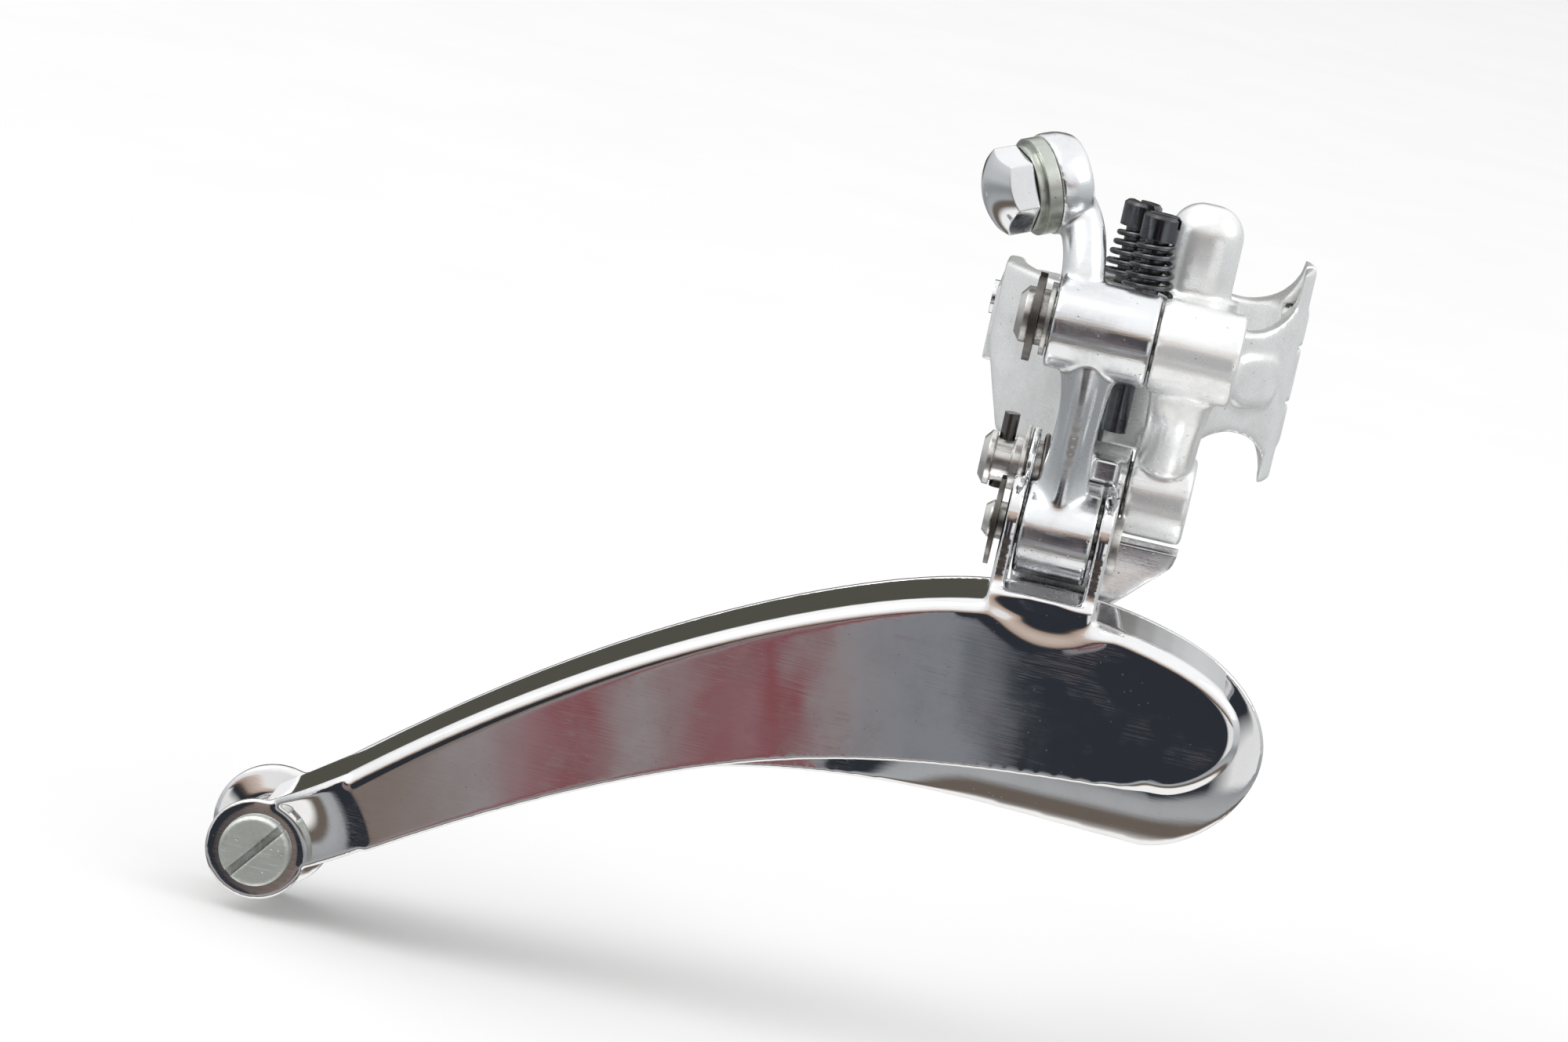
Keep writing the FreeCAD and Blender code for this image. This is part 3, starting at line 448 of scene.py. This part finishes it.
def baked(piece):
    """Turns the piece's modifiers into mesh."""
    graph = bpy.context.evaluated_depsgraph_get()
    mesh = bpy.data.meshes.new_from_object(piece.evaluated_get(graph))
    piece.modifiers.clear()
    piece.data = mesh


def smooth(piece, passes, group=""):
    """Evens the surface out, only in the vertex group if one is given."""
    modifier = piece.modifiers.new("smooth", "SMOOTH")
    modifier.factor = 0.5
    modifier.iterations = passes
    modifier.vertex_group = group


CORNER_REACH = 4.5
CORNER_PASSES = 60


def soften(piece, corners):
    """Rounds the piece near these corners, given in millimetres."""
    group = piece.vertex_groups.new(name="corners")
    points = points_of(piece)
    away = np.min([np.linalg.norm(points - np.array(corner), axis=1) for corner in corners], axis=0)
    weight = 1.0 - ease(away, 0.4 * CORNER_REACH, CORNER_REACH)
    for index in np.nonzero(weight > 0.01)[0]:
        group.add([int(index)], float(weight[index]), "REPLACE")
    smooth(piece, CORNER_PASSES, "corners")


def formed(node_name, voxel, passes, press=None, corners=()):
    """A copy of a CAD node, pressed to its final form, whose edges run into each other."""
    piece = bpy.data.objects.new(node_name + "_formed", frame["nodes"][node_name].data.copy())
    bpy.context.scene.collection.objects.link(piece)
    remesh = piece.modifiers.new("remesh", "REMESH")
    remesh.mode = "VOXEL"
    remesh.voxel_size = voxel * MM
    remesh.use_smooth_shade = True
    baked(piece)
    if press:
        points = np.stack(press(*points_of(piece).T), axis=1).astype(np.float32) * MM
        piece.data.vertices.foreach_set("co", points.ravel())
    smooth(piece, passes)
    if corners:
        soften(piece, corners)
    baked(piece)
    return piece


def body_name(node_name):
    """The body that a CAD node is part of."""
    for name, members in frame["record"]["behaviour"]["bodies"].items():
        if node_name in members:
            return name


EAR_ROOTS = [(side, deep, -25.0) for side in (-9.6, 1.7) for deep in (-39.0, -35.5, -32.0)]
EAR_RIMS = [(side, -38.5, high) for side in (-9.0, 0.9) for high in (-22.0, -19.5, -17.0, -14.5)]
FOLD_END = (9.4, -39.0, -41.8)
LEG_RIB = [(-4.4 - 0.17 * rise, 0.29 * rise - 36.5, rise - 14.5) for rise in (0.0, 2.5, 5.0, 7.5, 10.0)]
CORNERS = {
    "cage_outer_plate": EAR_ROOTS + EAR_RIMS + [FOLD_END],
    "outer_arm": LEG_RIB,
}
# For each node: the voxel in mm, the smoothing passes, the finish, and how it is pressed.
FORMED = {
    "clamp_body": (0.30, 16, "satin_alloy", None),
    "clamp_strap": (0.30, 14, "satin_alloy", None),
    "outer_arm": (0.22, 22, "polished_alloy", None),
    "inner_link": (0.28, 6, "forged_alloy", None),
    "cage_outer_plate": (0.16, 32, "chromed_sheet", press_outer_plate),
    "cage_inner_plate": (0.18, 24, "chromed_sheet", press_inner_plate),
}
for node_name, (voxel, passes, finish, press) in FORMED.items():
    piece = formed(node_name, voxel, passes, press, CORNERS.get(node_name, ()))
    piece.data.materials.clear()
    piece.data.materials.append(FINISH[finish])
    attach(piece, body_name(node_name))
    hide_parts(node_name)

# The nodes that keep their CAD mesh.
NODE_FINISH = {
    "chromed_steel": ["cable_bolt", "clamp_bolt"],
    "zinc_steel": ["anchor_washer"],
    "black_steel": ["limit_screw_high", "limit_screw_low", "limit_spring_high", "limit_spring_low"],
    "dark_steel": ["upper_circlip", "front_cage_circlip", "rear_cage_circlip", "return_spring",
                   "lower_cross_pin"],
    "worn_steel": ["cage_screw"],
    "bright_steel": ["upper_pivot_pin", "lower_pivot_pin", "front_cage_pin", "rear_cage_pin",
                     "clamp_hinge_pin", "upper_washer", "lower_washer", "cage_spacer"],
}
for slot, names in NODE_FINISH.items():
    for name in names:
        node = frame["nodes"][name]
        node.data.materials.clear()
        node.data.materials.append(FINISH[slot])
